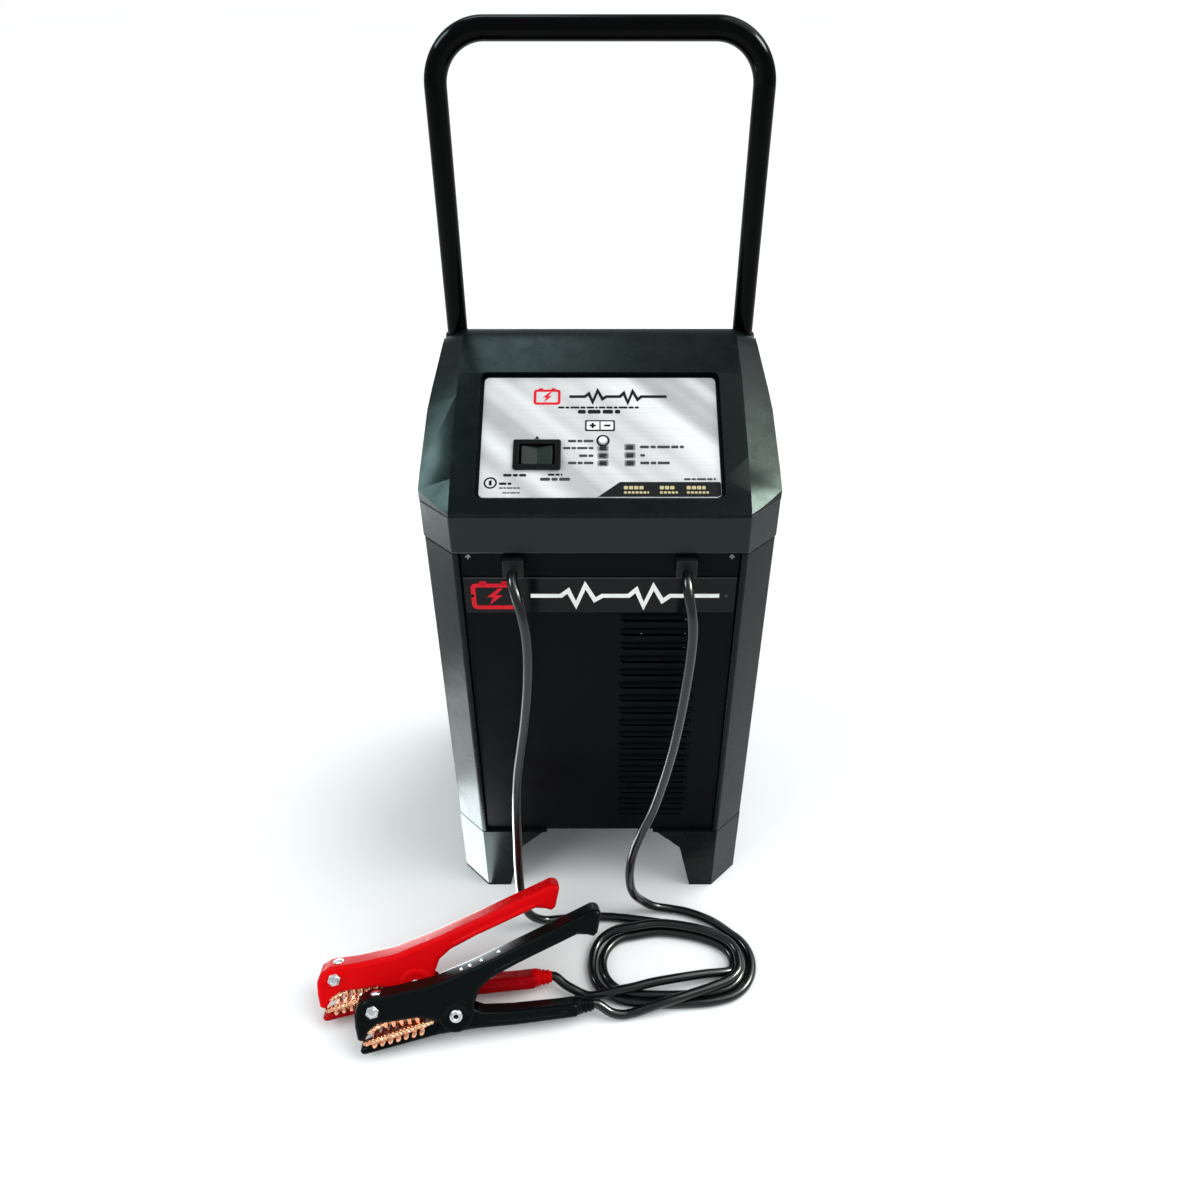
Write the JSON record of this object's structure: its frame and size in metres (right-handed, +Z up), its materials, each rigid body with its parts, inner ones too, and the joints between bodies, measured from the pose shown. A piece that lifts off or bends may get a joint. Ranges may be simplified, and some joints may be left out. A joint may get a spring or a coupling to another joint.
{
  "type": "car battery charger",
  "caption": "Upright wheeled car battery charger and engine starter with a tube handle, sloped control panel, vented front, coiled cables and spring clamps.",
  "frame": {"origin": "on the floor, under the middle of the case's own box (cables and clamps left out)", "axes": "+Z up; the control panel and the cables face -Y; +X is to the right seen from the front"},
  "size_m": [0.3623, 0.4031, 0.6766],
  "materials": {
    "case_plastic": "moulded charcoal plastic, satin",
    "panel_plastic": "near-black moulded plastic, fine texture",
    "label": "blank glossy label",
    "faceplate_metal": "brushed silver",
    "tube_paint": "gloss black powder coat on steel tube",
    "rubber": "satin",
    "switch_plastic": "semi-gloss",
    "button_plastic": "pale button",
    "lamp_lens": "dark translucent lens",
    "circuit_board": "solder mask",
    "tyre": "solid rubber tyre",
    "hub_plastic": "moulded black",
    "steel": "zinc plated",
    "laminations": "varnished lamination stack",
    "copper": "copper",
    "aluminium": "extruded",
    "cable_jacket": "satin cable jacket",
    "red_vinyl": "red vinyl coating",
    "black_vinyl": "black vinyl coating"
  },
  "bodies": {
    "root": {"base": "case_plastic", "side_shell_left": "case_plastic", "side_shell_right": "case_plastic", "rear_panel": "case_plastic", "head_band": "case_plastic", "head_cover": "case_plastic", "front_panel": "panel_plastic", "label_strip": "label", "faceplate": "faceplate_metal", "handle_tube": "tube_paint", "handle_socket_left": "rubber", "handle_socket_right": "rubber", "cable_gland_left": "rubber", "cable_gland_right": "rubber", "mains_inlet_gland": "rubber", "switch_bezel": "switch_plastic", "circuit_breaker": "switch_plastic", "led_1": "lamp_lens", "led_2": "lamp_lens", "led_3": "lamp_lens", "led_4": "lamp_lens", "led_5": "lamp_lens", "led_6": "lamp_lens", "control_board": "circuit_board", "fan_frame": "hub_plastic", "axle": "steel", "diode_negative": "steel", "diode_positive": "steel", "transformer_core": "laminations", "transformer_winding": "copper", "heat_sink": "aluminium", "cable_drop_left": "cable_jacket", "cable_drop_right": "cable_jacket", "cable_coil": "cable_jacket", "cable_lead_red": "cable_jacket", "cable_lead_black": "cable_jacket", "red_clamp_lower_arm": "red_vinyl", "red_clamp_lower_jaw": "copper", "red_clamp_pivot": "steel", "red_clamp_spring": "steel", "black_clamp_lower_arm": "black_vinyl", "black_clamp_lower_jaw": "copper", "black_clamp_pivot": "steel", "black_clamp_spring": "steel"},
    "wheel_left": {"tyre_left": "tyre", "hub_left": "hub_plastic", "hub_cap_left": "steel"},
    "wheel_right": {"tyre_right": "tyre", "hub_right": "hub_plastic", "hub_cap_right": "steel"},
    "rocker": {"switch_rocker": "switch_plastic"},
    "button": {"selector_button": "button_plastic"},
    "fan": {"fan_rotor": "hub_plastic"},
    "black_upper": {"black_clamp_upper_arm": "black_vinyl", "black_clamp_upper_jaw": "copper"},
    "red_upper": {"red_clamp_upper_arm": "red_vinyl", "red_clamp_upper_jaw": "copper"}
  },
  "joints": [
    {"name": "wheel_left_spin", "type": "hinge", "parent": "root", "child": "wheel_left", "pos_m": [-0.108, 0.0545, 0.0635], "axis": [1, 0, 0], "continuous": true},
    {"name": "wheel_right_spin", "type": "hinge", "parent": "root", "child": "wheel_right", "pos_m": [0.108, 0.0545, 0.0635], "axis": [1, 0, 0], "continuous": true},
    {"name": "fan_spin", "type": "hinge", "parent": "root", "child": "fan", "pos_m": [0, 0.0715, 0.258], "axis": [0, 1, 0], "continuous": true},
    {"name": "switch_rock", "type": "hinge", "parent": "root", "child": "rocker", "pos_m": [-0.044, -0.07209, 0.41893], "axis": [0, 0.8746, 0.4848], "range_deg": [-10, 10]},
    {"name": "button_press", "type": "slide", "parent": "root", "child": "button", "axis": [0, -0.4848, 0.8746], "range_m": [-0.001, 0], "stiffness_N_per_m": 300},
    {"name": "black_clamp_open", "type": "hinge", "parent": "root", "child": "black_upper", "pos_m": [-0.11476, -0.25422, 0.02382], "axis": [-0.1399, 0.8269, -0.5446], "range_deg": [0, 18], "stiffness_Nm_per_rad": 1.5, "springref_deg": -20.05},
    {"name": "red_clamp_open", "type": "hinge", "parent": "root", "child": "red_upper", "pos_m": [-0.14995, -0.22787, 0.02382], "axis": [-0.1254, 0.8292, -0.5446], "range_deg": [0, 18], "stiffness_Nm_per_rad": 1.5, "springref_deg": -20.05}
  ]
}
